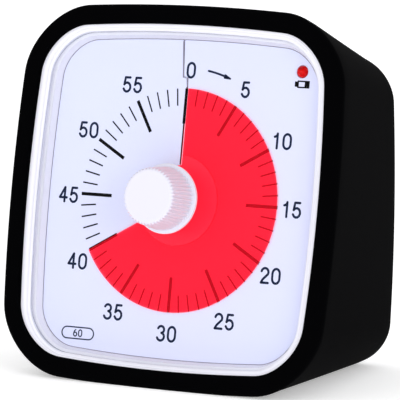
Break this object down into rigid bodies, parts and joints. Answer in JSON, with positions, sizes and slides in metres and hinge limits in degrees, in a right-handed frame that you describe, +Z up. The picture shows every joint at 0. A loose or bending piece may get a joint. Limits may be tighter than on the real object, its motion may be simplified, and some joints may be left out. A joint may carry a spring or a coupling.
{
  "type": "visual countdown timer",
  "caption": "Desk countdown timer: a film disc feeds through a slit dial card behind a clear lens, turned by a fluted knob, in a tapered case with a silicone sleeve.",
  "frame": {"origin": "middle of the timer's bounding box at the surface it stands on", "axes": "+Z up, +X to the right as the dial is read, +Y from the dial to the back; the dial leans back"},
  "size_m": [0.0926, 0.0678, 0.0941],
  "materials": {
    "silicone": "matt moulded silicone",
    "white_abs": "satin moulded ABS",
    "clear_plastic": "clear polished plastic",
    "printed_card": "printed satin card",
    "red_film": "translucent red film",
    "white_knob": "satin moulded ABS",
    "steel": "bright turned steel",
    "brass": "bright brass",
    "movement_plastic": "moulded acetal",
    "gear_plastic": "moulded acetal",
    "rotor_magnet": "sintered magnet",
    "soft_iron": "stamped iron",
    "copper_wire": "enamelled copper winding",
    "cell_wrap": "plain shrink wrap",
    "nickel_plate": "nickel plate",
    "circuit_laminate": "green solder mask",
    "black_plastic": "black moulded plastic",
    "red_led": "diffused red epoxy"
  },
  "bodies": {
    "case": {"silicone_sleeve": "silicone", "front_bezel": "white_abs", "lens": "clear_plastic", "dial_card": "printed_card", "dial_support": "white_abs", "arbor_bush": "brass", "movement_front_plate": "movement_plastic", "movement_rear_plate": "movement_plastic", "movement_screws": "steel", "stator": "soft_iron", "coil": "copper_wire", "rear_housing": "white_abs", "case_screws": "steel", "battery_cell": "cell_wrap", "positive_contact": "nickel_plate", "negative_contact": "nickel_plate", "contact_spring": "nickel_plate", "circuit_board": "circuit_laminate", "board_screws": "steel", "buzzer": "black_plastic", "switch_body": "nickel_plate", "indicator_led": "red_led"},
    "dial": {"film_disc": "red_film", "film_hub": "white_abs", "knob": "white_knob", "dial_arbor": "steel", "clutch_spring": "brass"},
    "rotor": {"rotor": "rotor_magnet"},
    "first_wheel": {"first_wheel": "gear_plastic"},
    "second_wheel": {"second_wheel": "gear_plastic"},
    "third_wheel": {"third_wheel": "gear_plastic"},
    "centre_wheel": {"centre_wheel": "gear_plastic"},
    "battery_door": {"battery_door": "white_abs"},
    "sound_switch": {"sound_switch": "black_plastic"}
  },
  "joints": [
    {"name": "dial_turn", "type": "hinge", "parent": "case", "child": "dial", "pos_m": [0, -0.01782, 0.04572], "axis": [0, 0.9869, -0.1616], "range_deg": [-240, 120], "deforming": ["film_disc"]},
    {"name": "rotor_spin", "type": "hinge", "parent": "case", "child": "rotor", "pos_m": [-0.01752, -0.01822, 0.04326], "axis": [0, 0.9869, -0.1616], "continuous": true},
    {"name": "first_wheel_spin", "type": "hinge", "parent": "case", "child": "first_wheel", "pos_m": [-0.01699, -0.01657, 0.05331], "axis": [0, 0.9869, -0.1616], "continuous": true},
    {"name": "second_wheel_spin", "type": "hinge", "parent": "case", "child": "second_wheel", "pos_m": [-0.01099, -0.01524, 0.06145], "axis": [0, 0.9869, -0.1616], "continuous": true},
    {"name": "third_wheel_spin", "type": "hinge", "parent": "case", "child": "third_wheel", "pos_m": [0, -0.01549, 0.05993], "axis": [0, 0.9869, -0.1616], "continuous": true},
    {"name": "centre_wheel_spin", "type": "hinge", "parent": "case", "child": "centre_wheel", "pos_m": [0, -0.01782, 0.04572], "axis": [0, 0.9869, -0.1616], "continuous": true},
    {"name": "battery_door_swing", "type": "hinge", "parent": "case", "child": "battery_door", "pos_m": [0, 0.03121, 0.01866], "axis": [-1, 0, 0], "range_deg": [0, 95]},
    {"name": "sound_switch_slide", "type": "slide", "parent": "case", "child": "sound_switch", "axis": [1, 0, 0], "range_m": [0, 0.003]}
  ],
  "couplings": [
    {"joint": "centre_wheel_spin", "follows": "third_wheel_spin", "ratio": -0.2},
    {"joint": "second_wheel_spin", "follows": "third_wheel_spin", "ratio": -6.4},
    {"joint": "first_wheel_spin", "follows": "third_wheel_spin", "ratio": 48},
    {"joint": "rotor_spin", "follows": "third_wheel_spin", "ratio": -360}
  ]
}
